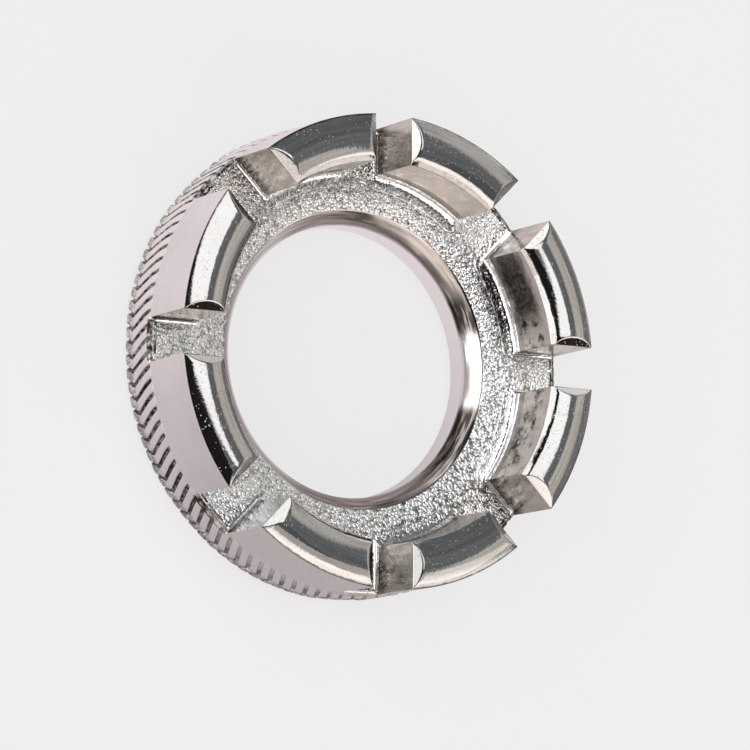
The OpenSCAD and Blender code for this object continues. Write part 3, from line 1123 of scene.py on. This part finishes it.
# Knurled band: one pitch of the herringbone is a tile, turned round the rim by Geometry Nodes
knurl = {
    "count": 108,
    "apex": 1.3,
    "slant": 1.5,
    "grooveDepth": 0.32,
    "grooveWidth": (0.46, 0.64),  # at the back and at the front
    "rowZ": (0.0, 0.1, 0.24, 0.42, 0.6, 0.8, 1.0, 1.15, 1.3, 1.5, 1.8, 2.2, 2.7, 3.2, 3.6, 3.85, 4.0,
             4.12, 4.2, 4.26, 4.3),
    # a groove's section and the ridge after it: place across, share of the groove's depth
    "grooveColumns": ((-0.5, 0.0), (-0.42, 0.22), (-0.28, 0.62), (-0.12, 0.93), (0.0, 1.0), (0.12, 0.93),
                      (0.28, 0.62), (0.42, 0.22), (0.5, 0.0)),
    "ridgeColumns": ((0.15, -0.06), (0.5, -0.10), (0.85, -0.06), (1.0, 0.0)),
    "behind": 0.02,  # between the plate's edge and the band's inner wall
    "ridgeDrop": 0.02,  # from the CAD's radius down to the ridges
    "jawDrop": 0.01,  # from the jaws' radius down to the ridges' front ends
    "backRound": 0.42,
    "flushFrom": 3.3,  # height at which the ridges start to run in towards the jaws
    "fadeFrom": 3.3,  # height at which the grooves start to fade
    "endDepth": 0.4,  # share of the groove's depth that is left at its front end
    "endWidth": 0.55,
    "rimProud": 0.1,
    "rimRound": 0.6,
    "shadedFrom": 3.9,
    "knurlShade": 0.5,
    "jitter": 0.035,
    "wobble": {"W": 3.0, "Scale": 900.0, "Detail": 1.0},
    "crumbs": {"W": 9.0, "Scale": 3300.0, "Detail": 2.0},
    "crumbZone": (1.7, 0.9, 0.0, 0.8),
    "gainZone": (1.9, 0.9, 1.0, 3.0),
    "weld": 0.002,
    "outerLimit": 0.004,
    "backLimit": 0.002,
}


def ridgeRadius(z):
    ease = np.clip((z - knurl["flushFrom"]) / (plateTop - knurl["flushFrom"]), 0, 1)
    ease = ease * ease * (3 - 2 * ease)
    full = knurlRadius - knurl["ridgeDrop"]
    r = full + (jawRadius - knurl["jawDrop"] - full) * ease
    back = max(knurl["backRound"] - z, 0)
    return r - (knurl["backRound"] - math.sqrt(knurl["backRound"] ** 2 - back ** 2))


def grooveFade(z):
    ease = min(max((z - knurl["fadeFrom"]) / (plateTop - knurl["fadeFrom"]), 0), 1)
    return 1 - (1 - knurl["endDepth"]) * ease ** 2, 1 - (1 - knurl["endWidth"]) * ease ** 2


def makeTile():
    pitch = 2 * math.pi / knurl["count"]
    slope = knurl["slant"] / (plateTop - knurl["apex"]) / knurlRadius
    narrow, wide = knurl["grooveWidth"]
    rows, knurlShade = [], []
    for z in knurl["rowZ"]:
        shift = -slope * abs(z - knurl["apex"])
        fade, taper = grooveFade(z)
        width = (narrow + (wide - narrow) * z / plateTop) * taper / knurlRadius
        columns = [(place * width, share) for place, share in knurl["grooveColumns"]]
        columns += [(width / 2 + (pitch - width) * place, share) for place, share in knurl["ridgeColumns"]]
        depth = knurl["grooveDepth"] * fade
        rows.append([(a + shift, ridgeRadius(z) - share * depth, z) for a, share in columns])
        # each point's share of the groove's depth, which sets the painted shade in the groove
        knurlShade.append([max(share, 0) * fade for a, share in columns])
    frontRow = rows[-1]
    for z in (knurl["rowZ"][-1], knurl["rowZ"][0]):
        rows.append([(a, plateRadius + knurl["behind"], z) for a, r, front in frontRow])
        knurlShade.append([0.0] * len(frontRow))
    points = [(r * math.cos(a), r * math.sin(a), z) for row in rows for a, r, z in row]
    faces = gridFaces(len(rows), len(frontRow), closed=False)
    return makePiece("knurledBand", points, faces, ["knurl"], layers={"groove": knurlShade})


def makeRidgeTree():
    tree, given, out = makeGroup(
        "GeometryNodeTree", "ridgesRoundRim",
        {"Geometry": "Geometry", "Count": "Int", "Jitter": "Float", "Metal": "Material"},
        {"Geometry": "Geometry"})
    dots = newNode(tree, "GeometryNodePoints", {"Count": given["Count"]})
    index = newNode(tree, "GeometryNodeInputIndex").outputs[0]
    turn = calc(tree, "DIVIDE", calc(tree, "MULTIPLY", index, 2 * math.pi), given["Count"])
    spin = newNode(tree, "ShaderNodeCombineXYZ", {2: turn})
    copies = newNode(tree, "GeometryNodeInstanceOnPoints",
                     {"Points": dots.outputs[0], "Instance": given["Geometry"], "Rotation": spin.outputs[0]})
    real = newNode(tree, "GeometryNodeRealizeInstances", {0: copies.outputs[0]})
    merged = newNode(tree, "GeometryNodeMergeByDistance",
                     {"Geometry": real.outputs[0], "Distance": knurl["weld"] * mm})
    # points wander a little, and more near the back face, where the skin is crumbly
    place = newNode(tree, "GeometryNodeInputPosition").outputs[0]
    wobble, crumbs = [newNode(tree, "ShaderNodeTexNoise", {"Vector": place, **knurl[texture]},
                              noise_dimensions="4D").outputs["Color"] for texture in ("wobble", "crumbs")]
    height = axes(tree, place)[2]
    both = blend(tree, zone(tree, height, *knurl["crumbZone"]), wobble, crumbs)
    centred = vectorCalc(tree, "SUBTRACT", both, (0.5, 0.5, 0.5))
    reach = product(tree, zone(tree, height, *knurl["gainZone"]), given["Jitter"])
    push = vectorCalc(tree, "SCALE", centred, Scale=reach)
    moved = newNode(tree, "GeometryNodeSetPosition", {"Geometry": merged.outputs[0], "Offset": push})
    dressed = newNode(tree, "GeometryNodeSetMaterial",
                      {"Geometry": moved.outputs[0], "Material": given["Metal"]})
    tree.links.new(dressed.outputs[0], out["Geometry"])
    return tree


def softenSlotRims(mesh):
    # where a slot crosses the band its front edge is rounded and given painted shade, and elsewhere the jaws
    # cover it
    points = np.array([v.co for v in mesh.vertices]) / mm
    r = np.hypot(points[:, 0], points[:, 1])
    radius = knurl["rimRound"]
    above = np.maximum(points[:, 2] - (plateTop - radius), 0)
    cap = jawRadius + knurl["rimProud"] - (radius - np.sqrt(np.maximum(radius ** 2 - above ** 2, 0)))
    inSlot = np.zeros(len(points), bool)
    for i, half in enumerate(halfSlots):
        along, across = fromSlot(points, i)
        inSlot |= (np.abs(across) < half) & (along > 0)
    fitted = np.where(inSlot, np.minimum(r, np.maximum(cap, plateRadius)), r)
    fitted = np.minimum(fitted, knurlRadius - knurl["outerLimit"])
    points[:, :2] *= (fitted / r)[:, None]
    points[:, 2] = np.clip(points[:, 2], knurl["backLimit"], plateTop)
    mesh.vertices.foreach_set("co", (points * mm).astype(np.float32).ravel())
    knurlShade = np.empty(len(points), np.float32)
    mesh.attributes["groove"].data.foreach_get("value", knurlShade)
    # painted shade on the slots' front edges, through the groove attribute
    knurlShade[inSlot & (points[:, 2] > knurl["shadedFrom"])] = knurl["knurlShade"]
    mesh.attributes["groove"].data.foreach_set("value", knurlShade)
    mesh.update()


def makeBand():
    piece = makeTile()
    applyTree(piece, makeRidgeTree(),
              {"Count": knurl["count"], "Jitter": knurl["jitter"] * mm, "Metal": metals["knurl"]})
    softenSlotRims(piece.data)
    rideOn(piece, "knurl", "knurled_band")


makeBand()
print("knurled band made")

print("object done")
